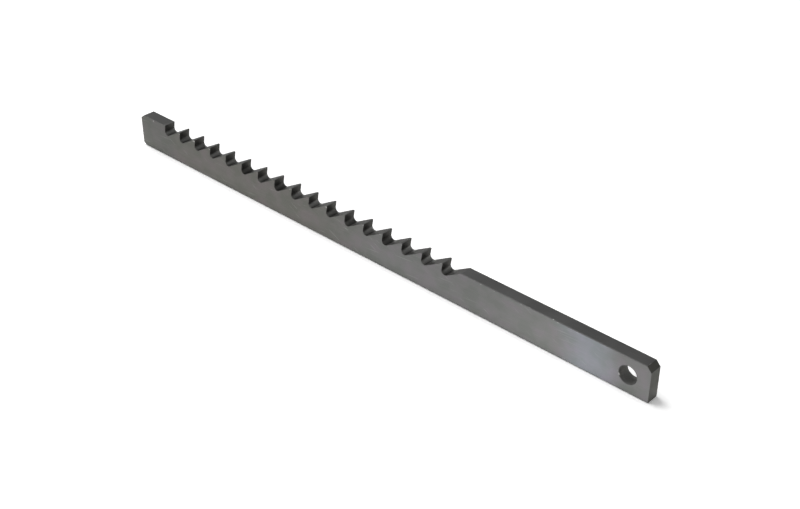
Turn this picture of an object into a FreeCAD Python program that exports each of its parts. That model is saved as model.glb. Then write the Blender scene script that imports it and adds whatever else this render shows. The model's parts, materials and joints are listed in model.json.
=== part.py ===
import FreeCAD, Part
import math
import os
from FreeCAD import Vector

# Keyway broach: one flat bar of hardened tool steel, ground all over, with a row of cutting teeth
# along its top edge and a pull hole at its plain end. Millimetres, standing on its narrow bottom edge.
# +X runs along the bar to the pull end, which goes through the work first, and +Z is up, the side of
# the teeth. The origin is on the bottom, at the middle of the length and of the thickness.

# Bar
keyway_width = 6.0
shank_height = 16.3
shank_length = 89.9
rear_pad_length = 18.75

# Teeth, counted from the first to cut, next to the shank, to the last, the front edge of the rear pad
tooth_count = 17
tooth_pitch = 11.15
first_tooth_rise = 0.36
rise_per_tooth = 0.01
land_width = 0.75
land_relief_angle = 2.0
hook_angle = 10.0
gullet_depth = 5.1
gullet_radius = 1.72

# Pull hole, across the bar
pull_hole_diameter = 7.8
pull_hole_setback = 9.8
pull_hole_height = 8.15
pull_hole_break = 0.25

# Corners of the outline, each as its length along the bar and its drop
pull_corner_length = 2.1
pull_corner_drop = 2.3
rear_corner_length = 2.4
rear_corner_drop = 1.85
heel_corner_length = 2.1
heel_corner_rise = 1.5

# Long edges
sole_edge_break = 0.35
shank_edge_break = 0.15

# Stations along the bar
toothed_length = tooth_count * tooth_pitch
overall_length = rear_pad_length + toothed_length + shank_length
rear_end = -overall_length / 2
pull_end = overall_length / 2
pad_edge = rear_end + rear_pad_length
shank_start = pad_edge + toothed_length
half_width = keyway_width / 2

# Directions in the tooth form
hook = math.radians(hook_angle)
out_of_face = Vector(math.cos(hook), 0, -math.sin(hook))
land_drop = land_width * math.tan(math.radians(land_relief_angle))


def side_point(x, z):
    """A point of the side outline, on the near face of the bar."""
    return Vector(x, -half_width, z)


def tooth_tip(number):
    """Cutting edge of a tooth. Number 1 is the first to cut, and each later one stands a little higher.
    Number 0 would stand on the shank, and only sets where the back beside the shank lies."""
    x = shank_start - number * tooth_pitch
    return side_point(x, shank_height + first_tooth_rise + (number - 1) * rise_per_tooth)


def land_rear(number):
    """Rear edge of a tooth's narrow land, which falls away behind the cutting edge."""
    return tooth_tip(number) - Vector(land_width, 0, land_drop)


def gullet_edges(number, back_height):
    """The chip space ahead of a tooth: its hooked face, a round root and a straight back up to a height."""
    tip = tooth_tip(number)
    back_top = land_rear(number - 1)
    root_height = tip.z - gullet_depth
    centre_z = root_height + gullet_radius
    centre_x = tip.x + (gullet_radius + out_of_face.z * (tip.z - centre_z)) / out_of_face.x
    centre = side_point(centre_x, centre_z)
    face_foot = centre - out_of_face * gullet_radius
    root = centre - Vector(0, 0, gullet_radius)

    reach = back_top - centre
    swing = math.acos(gullet_radius / reach.Length)
    heading = math.atan2(reach.z, reach.x) - swing
    back_foot = centre + Vector(math.cos(heading), 0, math.sin(heading)) * gullet_radius
    back = back_top - back_foot
    back_end = back_foot + back * ((back_height - back_foot.z) / back.z)

    edges = [
        Part.LineSegment(tip, face_foot).toShape(),
        Part.Arc(face_foot, root, back_foot).toShape(),
        Part.LineSegment(back_foot, back_end).toShape(),
    ]
    return edges, back_end


def toothed_edges():
    """The row of teeth, from the rear pad's cutting edge forward to the top of the shank."""
    edges = []
    for number in range(tooth_count, 1, -1):
        ahead = number - 1
        gullet, back_end = gullet_edges(number, land_rear(ahead).z)
        edges += gullet
        edges.append(Part.LineSegment(back_end, tooth_tip(ahead)).toShape())
    gullet, shank_top_start = gullet_edges(1, shank_height)
    return edges + gullet, shank_top_start


def bar_edges(shank_top_start):
    """The rest of the outline: shank top, pull end, sole, heel and rear pad, back to the last cutting edge."""
    pad_tip = tooth_tip(tooth_count)
    corners = [
        shank_top_start,
        side_point(pull_end - pull_corner_length, shank_height),
        side_point(pull_end, shank_height - pull_corner_drop),
        side_point(pull_end, 0),
        side_point(rear_end + heel_corner_length, 0),
        side_point(rear_end, heel_corner_rise),
        side_point(rear_end, pad_tip.z - rear_corner_drop),
        side_point(rear_end + rear_corner_length, pad_tip.z),
        pad_tip,
    ]
    return [Part.LineSegment(start, end).toShape() for start, end in zip(corners, corners[1:])]


def ground_bar():
    """The side outline with all its teeth, as thick as the keyway is wide."""
    teeth, shank_top_start = toothed_edges()
    outline = Part.Wire(teeth + bar_edges(shank_top_start))
    return Part.Face(outline).extrude(Vector(0, keyway_width, 0))


def runs_along_bar(edge, height):
    """Whether an edge is a long one of the bar at this height."""
    low, high = edge.BoundBox.ZMin, edge.BoundBox.ZMax
    tolerance = edge.Tolerance
    level = abs(low - height) <= tolerance and abs(high - height) <= tolerance
    return level and edge.BoundBox.XLength > keyway_width


def break_long_edges(bar):
    """Take the sharpness off the sole's two long edges and, more lightly, off the shank's top ones."""
    sole = [edge for edge in bar.Edges if runs_along_bar(edge, 0)]
    bar = bar.makeChamfer(sole_edge_break, sole)
    shank = [edge for edge in bar.Edges if runs_along_bar(edge, shank_height)]
    return bar.makeChamfer(shank_edge_break, shank)


def drill_pull_hole(bar):
    """The hole for the puller's pin, through both faces, with its rims lightly broken."""
    centre = Vector(pull_end - pull_hole_setback, -half_width, pull_hole_height)
    across = Vector(0, 1, 0)
    radius = pull_hole_diameter / 2
    rim_radius = radius + pull_hole_break
    drill = Part.makeCylinder(radius, keyway_width, centre, across)
    near_rim = Part.makeCone(rim_radius, radius, pull_hole_break, centre, across)
    far_start = centre + across * (keyway_width - pull_hole_break)
    far_rim = Part.makeCone(radius, rim_radius, pull_hole_break, far_start, across)
    return bar.cut([drill, near_rim, far_rim])


def broach():
    """The whole tool, one solid."""
    bar = break_long_edges(ground_bar())
    return drill_pull_hole(bar).Solids[0]


os.makedirs("parts", exist_ok=True)
broach().exportStep("parts/broach.step")
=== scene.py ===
import json
import math

import bmesh
import bpy
from bpy.props import FloatProperty, FloatVectorProperty, IntProperty, PointerProperty
from bpy.types import Operator, Panel, PropertyGroup, Scene
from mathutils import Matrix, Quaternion, Vector


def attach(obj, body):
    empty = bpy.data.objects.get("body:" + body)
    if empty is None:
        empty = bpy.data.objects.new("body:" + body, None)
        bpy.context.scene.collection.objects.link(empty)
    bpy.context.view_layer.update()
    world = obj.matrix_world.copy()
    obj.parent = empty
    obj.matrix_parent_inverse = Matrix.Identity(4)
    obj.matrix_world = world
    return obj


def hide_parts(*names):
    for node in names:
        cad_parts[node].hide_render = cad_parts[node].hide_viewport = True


bl_info = {
    "name": "Keyway Broach",
    "version": (1, 0, 0),
    "blender": (4, 5, 0),
    "location": "View3D > Sidebar > Broach",
    "description": "Finishes a keyway broach in ground tool steel and lays out its pale studio",
    "category": "Object",
}

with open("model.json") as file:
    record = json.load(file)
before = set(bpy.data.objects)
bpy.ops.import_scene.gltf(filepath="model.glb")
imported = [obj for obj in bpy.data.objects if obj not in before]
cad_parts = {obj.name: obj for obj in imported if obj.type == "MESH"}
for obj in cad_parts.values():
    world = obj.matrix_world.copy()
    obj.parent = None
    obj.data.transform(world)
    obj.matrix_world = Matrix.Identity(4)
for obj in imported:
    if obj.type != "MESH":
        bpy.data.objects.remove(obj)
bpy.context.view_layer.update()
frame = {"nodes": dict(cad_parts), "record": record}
MM = 0.001

# Places on the bar, from the frame
RECORD = frame["record"]
PULL_HOLE = next(mount for mount in RECORD["mounts"] if mount["name"] == "pull_pin_hole")
HOLE_X, HOLE_Y, HOLE_Z = PULL_HOLE["pos_m"]
HOLE_RADIUS = PULL_HOLE["dims"]["r_mm"] * MM
GULLETS = [opening["box_m"] for opening in RECORD["physics"]["openings"]]
REAR_GULLET = min(low[0] for low, high in GULLETS)
FRONT_GULLET = max(high[0] for low, high in GULLETS)
GULLET_PITCH = (FRONT_GULLET - REAR_GULLET) / len(GULLETS)
SHANK_TOP = max(vertex.co.z for vertex in frame["nodes"]["broach"].data.vertices
                if vertex.co.x > FRONT_GULLET + GULLET_PITCH)
ROOT_HEIGHT = min(vertex.co.z for vertex in frame["nodes"]["broach"].data.vertices
                  if vertex.co.x < FRONT_GULLET and vertex.co.z > HOLE_Z)

# Finishes, in the order of the bar's material slots. The top, teeth and ends are darker than the sides,
# partly as duller finishes and partly as painted shade.
SIDE, TOP, TOOTH, END, HOLE, EDGE = range(6)

# Patterns, as grains a metre along X, Y and Z
CLOUDS = (60.0, 60.0, 60.0)
STAINS = (130.0, 130.0, 170.0)
SIDE_RUBS = (50.0, 50.0, 1700.0)
CROSSINGS = (1500.0, 100.0, 90.0)
CHIPS = (420.0, 420.0, 600.0)
TOP_RUBS = (60.0, 2600.0, 60.0)
# Patches of painted light in the gullet roots
GULLET_LIGHT_PATCHES = (90.0, 60.0, 60.0)
EDGE_WEAR = (350.0, 350.0, 350.0)

# Tones that multiply a colour where they lie: tints and stains, painted light low on the sides, and painted
# shade at the rear corner and along the sole
PAD_SIDE_TONE = (0.94, 0.96, 0.98)
PAD_TOP_TONE = (0.83, 0.83, 0.83)
# Painted light low on the sides
LOW_SIDE_PAINTED_LIFT = (1.14, 1.14, 1.14)
GREEN_STAIN = (0.92, 0.95, 0.92)
LILAC_STAIN = (1.07, 1.02, 1.07)
# Painted shade at the rear corner
REAR_CORNER_SHADE = (0.6, 0.6, 0.6)
# Painted shade along the sole
SOLE_EDGE_SHADE = (0.3, 0.3, 0.3)

# How far worn steel covers a colour where it lies; the same light colour also paints light low in the hole
# and low on the ends
SIDE_RUB_SHARE = 0.32
CROSSING_SHARE = 0.35
LOWER_CHIP_SHARE = 0.6
HOLE_RING_SHARE = 0.5
TOP_RUB_SHARE = 0.2
# Painted reflection low in the hole
HOLE_LOW_LIFT_SHARE = 0.5
# Painted light low on the ends
END_LOW_LIFT_SHARE = 0.16


class Value:
    """An output socket of a shader. Arithmetic on it adds Math nodes."""

    def __init__(self, maker, socket):
        self.maker = maker
        self.socket = socket

    def _math(self, operation, first, second):
        return self.maker.add("ShaderNodeMath", {"operation": operation}, {0: first, 1: second})

    def __add__(self, other):
        return self._math("ADD", self, other)

    def __radd__(self, other):
        return self._math("ADD", other, self)

    def __sub__(self, other):
        return self._math("SUBTRACT", self, other)

    def __rsub__(self, other):
        return self._math("SUBTRACT", other, self)

    def __mul__(self, other):
        return self._math("MULTIPLY", self, other)

    def __rmul__(self, other):
        return self._math("MULTIPLY", other, self)


class ShaderMaker:
    """The nodes of one material or world."""

    def __init__(self, owner):
        owner.use_nodes = True
        self.tree = owner.node_tree
        self.tree.nodes.clear()

    def add(self, kind, settings=None, inputs=None, output=0):
        """Add a node, set it, then fill its sockets with numbers, colours or links. Returns one output."""
        node = self.tree.nodes.new(kind)
        for name, setting in (settings or {}).items():
            setattr(node, name, setting)
        for name, value in (inputs or {}).items():
            if isinstance(value, Value):
                self.tree.links.new(value.socket, node.inputs[name])
            else:
                node.inputs[name].default_value = value
        return Value(self, node.outputs[output]) if node.outputs else None

    def ramp(self, value, low, high, start=0.0, end=1.0):
        """A smooth step from start to end while the value goes from low to high."""
        return self.add("ShaderNodeMapRange", {"interpolation_type": "SMOOTHSTEP"},
                        {"Value": value, "From Min": low, "From Max": high, "To Min": start, "To Max": end})

    def coordinate(self, vector, axis):
        """One coordinate of a vector."""
        return self.add("ShaderNodeSeparateXYZ", {}, {"Vector": vector}, axis)

    def blend(self, share, first, second, mode="MIX"):
        """From the first colour to the second by share."""
        return self.add("ShaderNodeMix", {"data_type": "RGBA", "blend_type": mode},
                        {0: share, 6: first, 7: second}, 2)

    def tint(self, share, colour, tone):
        """From the colour to the colour times the tone by share."""
        return self.blend(share, colour, opaque(tone), "MULTIPLY")

    def noise(self, place, grains, detail=2.0, turn=0.0):
        """Noise with so many grains a metre along X, Y and Z, turned about Y."""
        spread = self.add("ShaderNodeMapping", {}, {
            "Vector": self.add("ShaderNodeMapping", {}, {"Vector": place, "Rotation": (0.0, turn, 0.0)}),
            "Scale": grains})
        return self.add("ShaderNodeTexNoise", {}, {"Vector": spread, "Scale": 1.0, "Detail": detail}, "Fac")


def opaque(colour):
    """A colour property as a socket takes it."""
    return (*colour, 1.0)


class BroachFinish(PropertyGroup):
    """Finish of the bar."""

    edge_break: FloatProperty(
        name="Edge Break", description="Width of the fine break on every sharp edge",
        default=0.1 * MM, min=0.0, unit="LENGTH")
    edge_segments: IntProperty(
        name="Edge Segments", description="Facets across each fine edge break", default=2, min=1)
    rear_colour: FloatVectorProperty(
        name="Side at the Rear", description="Colour of the flat sides from the rear pad to the middle",
        default=(0.135, 0.131, 0.122), size=3, subtype="COLOR", min=0.0, max=1.0)
    front_colour: FloatVectorProperty(
        name="Side at the Front", description="Colour of the flat sides from the middle to the pull end",
        default=(0.156, 0.156, 0.153), size=3, subtype="COLOR", min=0.0, max=1.0)
    # Polished by hands, and painted brighter as a reflection.
    handled_sheen_colour: FloatVectorProperty(
        name="Handled Side", description="Colour of the sides where hands have polished the shank",
        default=(0.242, 0.251, 0.271), size=3, subtype="COLOR", min=0.0, max=1.0)
    top_colour: FloatVectorProperty(
        name="Top", description="Colour of the top, the sole and the unrubbed edges",
        default=(0.120, 0.120, 0.118), size=3, subtype="COLOR", min=0.0, max=1.0)
    tooth_colour: FloatVectorProperty(
        name="Teeth", description="Colour of the form-ground gullets, tooth faces and tooth backs",
        default=(0.064, 0.063, 0.059), size=3, subtype="COLOR", min=0.0, max=1.0)
    hole_colour: FloatVectorProperty(
        name="Hole", description="Colour of the drilled hole's wall", default=(0.140, 0.138, 0.130), size=3,
        subtype="COLOR", min=0.0, max=1.0)
    end_colour: FloatVectorProperty(
        name="Ends", description="Colour of the two ends and their corners",
        default=(0.080, 0.080, 0.072), size=3, subtype="COLOR", min=0.0, max=1.0)
    # Also the colour of the painted light low in the hole, low on the ends and in the gullet roots.
    worn_and_painted_light_colour: FloatVectorProperty(
        name="Worn Steel", description="Colour of chips, fine scuffs and rubbed places",
        default=(0.36, 0.36, 0.35), size=3, subtype="COLOR", min=0.0, max=1.0)
    side_roughness: FloatProperty(
        name="Side Roughness", description="Dullness of the ground sides and top", default=0.48,
        min=0.0, max=1.0, subtype="FACTOR")
    tooth_roughness: FloatProperty(
        name="Tooth Roughness", description="Dullness of the form-ground teeth and the ends",
        default=0.52, min=0.0, max=1.0, subtype="FACTOR")
    hole_roughness: FloatProperty(
        name="Hole Roughness", description="Dullness of the drilled hole", default=0.68, min=0.0, max=1.0,
        subtype="FACTOR")
    glare: FloatProperty(
        name="Glare", description="How bright the dull steel looks along its surface", default=0.74,
        min=0.0, max=1.0, subtype="FACTOR")
    line_depth: FloatProperty(
        name="Line Depth", description="Depth of the grinding lines", default=0.004 * MM, min=0.0,
        unit="LENGTH")


class BroachStage(PropertyGroup):
    """Floor, light and camera."""

    floor_size: FloatProperty(
        name="Floor Size", description="Side of the square floor", default=24.0, min=1.0, unit="LENGTH")
    floor_colour: FloatVectorProperty(
        name="Floor", description="Colour of the plain floor", default=(0.8, 0.8, 0.8), size=3,
        subtype="COLOR", min=0.0, max=1.0)
    floor_lift: FloatProperty(
        name="Floor Lift", description="How much paler the floor looks than the light that it sheds",
        default=1.86, min=1.0)
    key_strength: FloatProperty(
        name="Key Strength", description="Strength of the soft key light", default=1.7, min=0.0)
    key_elevation: FloatProperty(
        name="Key Elevation", description="Height of the key light above the horizon",
        default=math.radians(57), subtype="ANGLE")
    key_softness: FloatProperty(
        name="Key Softness", description="Angle that the key light covers", default=math.radians(42),
        subtype="ANGLE")
    front_sky: FloatProperty(
        name="Front Sky", description="Brightness of the studio before the bar", default=0.6, min=0.0)
    back_sky: FloatProperty(
        name="Back Sky", description="Brightness of the studio behind the bar", default=0.24, min=0.0)
    camera_lens: FloatProperty(
        name="Lens", description="Focal length on a sensor 36 mm wide", default=58.67, min=1.0)
    camera_azimuth: FloatProperty(
        name="Azimuth", description="Camera's bearing round the bar", default=math.radians(42.586),
        subtype="ANGLE")
    camera_elevation: FloatProperty(
        name="Elevation", description="Camera's height above the horizon", default=math.radians(32.923),
        subtype="ANGLE")
    camera_roll: FloatProperty(
        name="Roll", description="Camera's tilt about its line of sight", default=math.radians(0.193),
        subtype="ANGLE")
    camera_distance: FloatProperty(
        name="Distance", description="From the camera to the point of the bar that it looks at",
        default=551.8 * MM, min=0.01, unit="LENGTH")
    camera_aim: FloatProperty(
        name="Aim", description="Where along the bar the camera looks", default=21.77 * MM, unit="LENGTH")


def side_colour(maker, place, finish):
    """Warm grey at the rear and lighter from the middle on, which is a painted reflection; lighter still
    short of the pull hole, where hands have polished the shank and a brighter reflection is painted; and a
    little lighter low down, as painted light that evens out the floor's shade reflected in the sides."""
    along = maker.coordinate(place, "X") + (maker.noise(place, CLOUDS) - 0.5) * (16 * MM)
    # Lighter from the rear to the front: a painted reflection.
    front = maker.ramp(along, REAR_GULLET / 3, FRONT_GULLET / 2)
    colour = maker.blend(front, opaque(finish.rear_colour), opaque(finish.front_colour))

    # Lighter again from the teeth towards the pull hole: a painted reflection.
    lighter = [1.25 * channel for channel in finish.front_colour]
    plain = maker.ramp(along, FRONT_GULLET, HOLE_X - 7 * HOLE_RADIUS)
    handled = maker.ramp(along, HOLE_X - 9 * HOLE_RADIUS, HOLE_X - 5.5 * HOLE_RADIUS)
    past = maker.ramp(along, HOLE_X - 4.7 * HOLE_RADIUS, HOLE_X + 0.3 * HOLE_RADIUS)
    colour = maker.blend(plain * (1 - past * 0.5), colour, opaque(lighter))
    # The handled band: polished by hands, and painted brighter as a reflection.
    colour = maker.blend(handled * (1 - past), colour, opaque(finish.handled_sheen_colour))

    pad = maker.ramp(along, REAR_GULLET + GULLET_PITCH, REAR_GULLET)
    colour = maker.tint(pad, colour, PAD_SIDE_TONE)
    # Lighter low down: painted light that evens out the floor's shade reflected in the sides.
    colour = maker.tint(maker.ramp(maker.coordinate(place, "Z"), SHANK_TOP, 0.0), colour, LOW_SIDE_PAINTED_LIFT)
    stain = maker.noise(place, STAINS, detail=3.0)
    colour = maker.tint(maker.ramp(stain, 0.5, 0.62), colour, GREEN_STAIN)
    colour = maker.tint(maker.ramp(stain, 0.48, 0.36), colour, LILAC_STAIN)

    rubs = maker.noise(place, SIDE_RUBS, detail=3.0, turn=math.radians(5))
    crossings = maker.noise(place, CROSSINGS, turn=math.radians(62))
    scuff = maker.ramp(rubs, 0.64, 0.74) * SIDE_RUB_SHARE + maker.ramp(crossings, 0.68, 0.76) * CROSSING_SHARE
    return maker.blend(scuff + worn_edges(maker, place), colour, opaque(finish.worn_and_painted_light_colour))


def worn_edges(maker, place):
    """Small rubbed chips on the long edges, and a rubbed ring round the pull hole."""
    height = maker.coordinate(place, "Z")
    upper = maker.ramp(height, SHANK_TOP - 0.8 * MM, SHANK_TOP - 0.3 * MM)
    lower = maker.ramp(height, 0.9 * MM, 0.5 * MM)
    chips = maker.ramp(maker.noise(place, CHIPS, detail=3.0), 0.6, 0.66)
    flat = maker.add("ShaderNodeMapping", {}, {"Vector": place, "Scale": (1.0, 0.0, 1.0)})
    reach = maker.add("ShaderNodeVectorMath", {"operation": "DISTANCE"},
                      {0: flat, 1: (HOLE_X, 0.0, HOLE_Z)}, "Value")
    ring = maker.ramp(reach, HOLE_RADIUS + 1.1 * MM, HOLE_RADIUS + 0.2 * MM)
    return (upper + lower * LOWER_CHIP_SHARE + ring * HOLE_RING_SHARE) * chips


def clouded(maker, place, colour, grains, lift):
    """A plain colour with slightly lighter clouds."""
    lighter = [lift * channel for channel in colour]
    cloud = maker.ramp(maker.noise(place, (grains, grains, grains)), 0.35, 0.7)
    return maker.blend(cloud, opaque(colour), opaque(lighter))


def top_colour(maker, place, finish):
    """Darker than the sides, partly as a duller finish and partly as painted shade, darker still on the rear
    pad, with fine rubs along the bar.
    """
    colour = clouded(maker, place, finish.top_colour, grains=80.0, lift=1.15)
    pad = maker.ramp(maker.coordinate(place, "X"), REAR_GULLET, REAR_GULLET - GULLET_PITCH / 4)
    colour = maker.tint(pad, colour, PAD_TOP_TONE)
    rubs = maker.noise(place, TOP_RUBS, detail=3.0)
    return maker.blend(maker.ramp(rubs, 0.66, 0.78) * TOP_RUB_SHARE, colour, opaque(finish.worn_and_painted_light_colour))


def hole_colour(maker, place, finish):
    """Browner than the sides round it, and painted lighter low down as a reflection."""
    colour = clouded(maker, place, finish.hole_colour, grains=300.0, lift=1.2)
    # Lighter low down: a painted reflection.
    rubbed = maker.ramp(maker.coordinate(place, "Z"), HOLE_Z - HOLE_RADIUS / 3, HOLE_Z - HOLE_RADIUS)
    return maker.blend(rubbed * HOLE_LOW_LIFT_SHARE, colour, opaque(finish.worn_and_painted_light_colour))


def tooth_colour(maker, place, finish):
    """Darker than the rest, partly as the forming wheel's duller finish and partly as painted shade, and
    painted lighter in patches in the roots as light that reaches the gullets.
    """
    colour = clouded(maker, place, finish.tooth_colour, grains=200.0, lift=1.25)
    # Lighter in patches in the roots: painted light.
    root = maker.ramp(maker.coordinate(place, "Z"), ROOT_HEIGHT + 1.9 * MM, ROOT_HEIGHT + 0.5 * MM)
    rubbed = maker.ramp(maker.noise(place, GULLET_LIGHT_PATCHES), 0.35, 0.65, start=0.15, end=0.75)
    return maker.blend(root * rubbed, colour, opaque(finish.worn_and_painted_light_colour))


def end_colour(maker, place, finish):
    """A faint olive cast on a colour darker than the sides, partly a duller finish and partly painted shade,
    painted lighter low down to even out the floor's shade reflected there, and painted darker at the rear
    corner as shade.
    """
    colour = clouded(maker, place, finish.end_colour, grains=150.0, lift=1.12)
    # Lighter low down: painted light that evens out the floor's shade reflected in the end.
    rubbed = maker.ramp(maker.coordinate(place, "Z"), HOLE_Z, HOLE_Z - 1.5 * HOLE_RADIUS)
    colour = maker.blend(rubbed * END_LOW_LIFT_SHARE, colour, opaque(finish.worn_and_painted_light_colour))
    # Darker at the rear corner: painted shade.
    rear = maker.ramp(maker.coordinate(place, "X"), REAR_GULLET, REAR_GULLET - GULLET_PITCH)
    return maker.tint(rear, colour, REAR_CORNER_SHADE)


def edge_colour(maker, place, finish):
    """Dull as the top, rubbed lighter in patches, and darker along the sole as painted shade."""
    wear = maker.noise(place, EDGE_WEAR)
    colour = maker.blend(maker.ramp(wear, 0.55, 0.7), opaque(finish.top_colour), opaque(finish.front_colour))
    colour = maker.blend(maker.ramp(wear, 0.66, 0.72), colour, opaque(finish.worn_and_painted_light_colour))
    # Darker along the sole: painted shade.
    sole = maker.ramp(maker.coordinate(place, "Z"), 0.6 * MM, 0.4 * MM)
    return maker.tint(sole, colour, SOLE_EDGE_SHADE)


def ground_steel(name, colour_of, line_grains, dullness, finish):
    """Tool steel with the fine lines that grinding leaves, running where they have few grains a metre."""
    material = bpy.data.materials.new(name)
    maker = ShaderMaker(material)
    place = maker.add("ShaderNodeTexCoord", output="Object")
    lines = maker.noise(place, line_grains, detail=3.0)
    roughness = maker.ramp(lines, 0.25, 0.75, dullness - 0.04, dullness + 0.06)
    bump = maker.add("ShaderNodeBump", {}, {"Height": lines, "Strength": 1.0, "Distance": finish.line_depth})
    surface = maker.add("ShaderNodeBsdfPrincipled", {}, {
        "Base Color": colour_of(maker, place, finish), "Metallic": 1.0, "Roughness": roughness,
        "Specular Tint": (finish.glare, finish.glare, finish.glare, 1.0), "Normal": bump})
    maker.add("ShaderNodeOutputMaterial", {}, {"Surface": surface})
    return material


class BROACH_OT_finish_bar(Operator):
    """Stand a finely edged bar of ground steel in for the plain one"""

    bl_idname = "broach.finish_bar"
    bl_label = "Finish the Bar"

    merge_distance = 0.001 * MM
    flat_angle = math.radians(1.0)
    sharp_angle = math.radians(20.0)
    lines_along = (40.0, 4000.0, 4000.0)
    lines_across = (4000.0, 60.0, 4000.0)
    lines_up = (3000.0, 3000.0, 60.0)

    def execute(self, context):
        finish = context.scene.broach_finish
        bm = bmesh.new()
        bm.from_mesh(frame["nodes"]["broach"].data)
        bmesh.ops.remove_doubles(bm, verts=bm.verts, dist=self.merge_distance)
        bmesh.ops.recalc_face_normals(bm, faces=bm.faces)
        bmesh.ops.dissolve_limit(bm, angle_limit=self.flat_angle, verts=bm.verts, edges=bm.edges)
        for face in bm.faces:
            face.material_index = self.finish_of(face)
            face.smooth = True
        sharp = [edge for edge in bm.edges if edge.calc_face_angle(0.0) > self.sharp_angle]
        broken = bmesh.ops.bevel(
            bm, geom=sharp, offset=finish.edge_break, offset_type="OFFSET", affect="EDGES",
            segments=finish.edge_segments, profile=0.5, material=-1, clamp_overlap=True)
        for face in broken["faces"]:
            face.material_index = EDGE
            face.smooth = True
        mesh = bpy.data.meshes.new("finished_bar")
        bm.to_mesh(mesh)
        bm.free()

        for name, colour_of, line_grains, dullness in (
                ("ground_sides", side_colour, self.lines_along, finish.side_roughness),
                ("dull_top", top_colour, self.lines_along, finish.side_roughness),
                ("form_ground_teeth", tooth_colour, self.lines_across, finish.tooth_roughness),
                ("olive_ends", end_colour, self.lines_up, finish.tooth_roughness),
                ("drilled_hole", hole_colour, self.lines_along, finish.hole_roughness),
                ("rubbed_edges", edge_colour, self.lines_along, finish.side_roughness)):
            mesh.materials.append(ground_steel(name, colour_of, line_grains, dullness, finish))
        bar = bpy.data.objects.new("finished_bar", mesh)
        context.scene.collection.objects.link(bar)
        even = bar.modifiers.new("even_shading", "WEIGHTED_NORMAL")
        even.mode = "FACE_AREA"
        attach(bar, "root")
        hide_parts("broach")
        return {"FINISHED"}

    def finish_of(self, face):
        """Which finish a face of the plain bar has, by where it faces and lies. The darker colours of the
        faces that do not face sideways are partly painted shade.
        """
        normal, middle = face.normal, face.calc_center_median()
        square = math.cos(self.flat_angle)
        if abs(normal.y) > square:
            return SIDE
        if math.hypot(middle.x - HOLE_X, middle.z - HOLE_Z) < HOLE_RADIUS:
            return HOLE
        if abs(normal.y) > self.flat_angle:
            return EDGE
        if abs(normal.z) > math.cos(3 * self.flat_angle):
            return TOP
        toothed = REAR_GULLET - GULLET_PITCH / 4 < middle.x < FRONT_GULLET + GULLET_PITCH
        return TOOTH if toothed else END


def floor_material(stage):
    """A plain pale floor that the eye and polished metal see paler than it sheds light."""
    material = bpy.data.materials.new("pale_floor")
    maker = ShaderMaker(material)
    seen = (maker.add("ShaderNodeLightPath", output="Is Camera Ray")
            + maker.add("ShaderNodeLightPath", output="Is Glossy Ray")
            + maker.add("ShaderNodeLightPath", output="Is Transmission Ray"))
    lifted = [channel * stage.floor_lift for channel in stage.floor_colour]
    colour = maker.blend(seen, opaque(stage.floor_colour), opaque(lifted))
    surface = maker.add("ShaderNodeBsdfDiffuse", {}, {"Color": colour})
    maker.add("ShaderNodeOutputMaterial", {}, {"Surface": surface})
    return material


def studio_world(stage):
    """White round the horizon, and above it bright in front and dimmer behind."""
    world = bpy.data.worlds.new("studio")
    maker = ShaderMaker(world)
    heading = maker.add("ShaderNodeTexCoord", output="Generated")
    sky = maker.ramp(maker.coordinate(heading, "Y"), -0.7, 0.5, stage.front_sky, stage.back_sky)
    share = maker.ramp(maker.coordinate(heading, "Z"), 0.05, 0.35)
    strength = (1 - share) + share * sky
    light = maker.add("ShaderNodeBackground", {}, {"Color": (1.0, 1.0, 1.0, 1.0), "Strength": strength})
    maker.add("ShaderNodeOutputWorld", {}, {"Surface": light})
    return world


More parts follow.
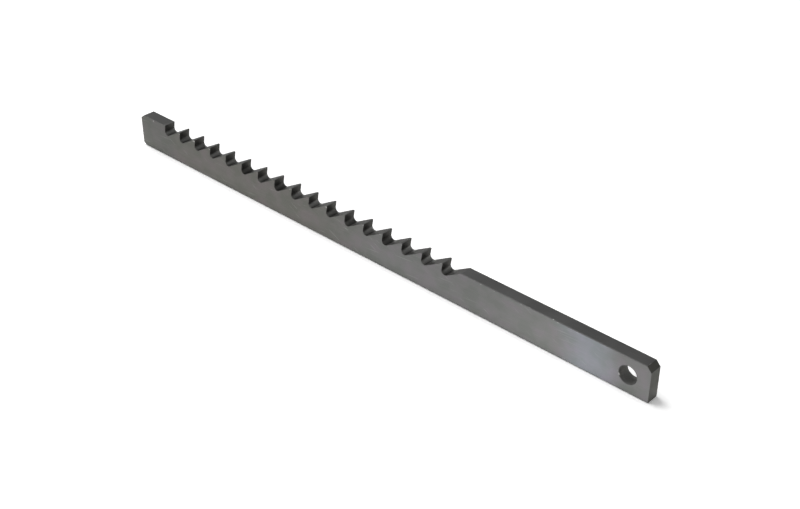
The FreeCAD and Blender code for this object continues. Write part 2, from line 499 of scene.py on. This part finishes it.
class BROACH_OT_build_stage(Operator):
    """Lay the pale floor, light it softly and set the camera"""

    bl_idname = "broach.build_stage"
    bl_label = "Build the Stage"

    def execute(self, context):
        scene = context.scene
        stage = scene.broach_stage
        self.lay_floor(scene, stage)
        scene.world = studio_world(stage)
        self.hang_key(scene, stage)
        self.set_camera(scene, stage)
        scene.view_settings.view_transform = "Standard"
        return {"FINISHED"}

    def lay_floor(self, scene, stage):
        bm = bmesh.new()
        bmesh.ops.create_grid(bm, x_segments=1, y_segments=1, size=stage.floor_size / 2)
        mesh = bpy.data.meshes.new("floor")
        bm.to_mesh(mesh)
        bm.free()
        mesh.materials.append(floor_material(stage))
        floor = bpy.data.objects.new("floor", mesh)
        scene.collection.objects.link(floor)

    def hang_key(self, scene, stage):
        lamp = bpy.data.lights.new("key", "SUN")
        lamp.energy = stage.key_strength
        lamp.angle = stage.key_softness
        key = bpy.data.objects.new("key", lamp)
        shines = Vector((math.cos(stage.key_elevation), 0.0, -math.sin(stage.key_elevation)))
        key.rotation_euler = shines.to_track_quat("-Z", "Y").to_euler()
        scene.collection.objects.link(key)

    def set_camera(self, scene, stage):
        lens = bpy.data.cameras.new("camera")
        lens.lens = stage.camera_lens
        camera = bpy.data.objects.new("camera", lens)
        level = math.cos(stage.camera_elevation)
        looks = Vector((-math.sin(stage.camera_azimuth) * level, math.cos(stage.camera_azimuth) * level,
                        -math.sin(stage.camera_elevation)))
        aim = Vector((stage.camera_aim, HOLE_Y, HOLE_Z))
        camera.location = aim - looks * stage.camera_distance
        turn = looks.to_track_quat("-Z", "Y") @ Quaternion((0.0, 0.0, 1.0), stage.camera_roll)
        camera.rotation_euler = turn.to_euler()
        scene.collection.objects.link(camera)
        scene.camera = camera


class BROACH_PT_panel(Panel):
    """The broach's settings, with a button for each step"""

    bl_label = "Keyway Broach"
    bl_idname = "BROACH_PT_panel"
    bl_space_type = "VIEW_3D"
    bl_region_type = "UI"
    bl_category = "Broach"

    def draw(self, context):
        scene = context.scene
        for settings, operator in ((scene.broach_finish, BROACH_OT_finish_bar),
                                   (scene.broach_stage, BROACH_OT_build_stage)):
            box = self.layout.box()
            for name in settings.__annotations__:
                box.prop(settings, name)
            box.operator(operator.bl_idname)


CLASSES = (BroachFinish, BroachStage, BROACH_OT_finish_bar, BROACH_OT_build_stage, BROACH_PT_panel)


def register():
    for item in CLASSES:
        bpy.utils.register_class(item)
    Scene.broach_finish = PointerProperty(type=BroachFinish)
    Scene.broach_stage = PointerProperty(type=BroachStage)


def unregister():
    del Scene.broach_stage
    del Scene.broach_finish
    for item in reversed(CLASSES):
        bpy.utils.unregister_class(item)


def main():
    register()
    bpy.ops.broach.finish_bar()
    bpy.ops.broach.build_stage()


if __name__ == "__main__":
    main()
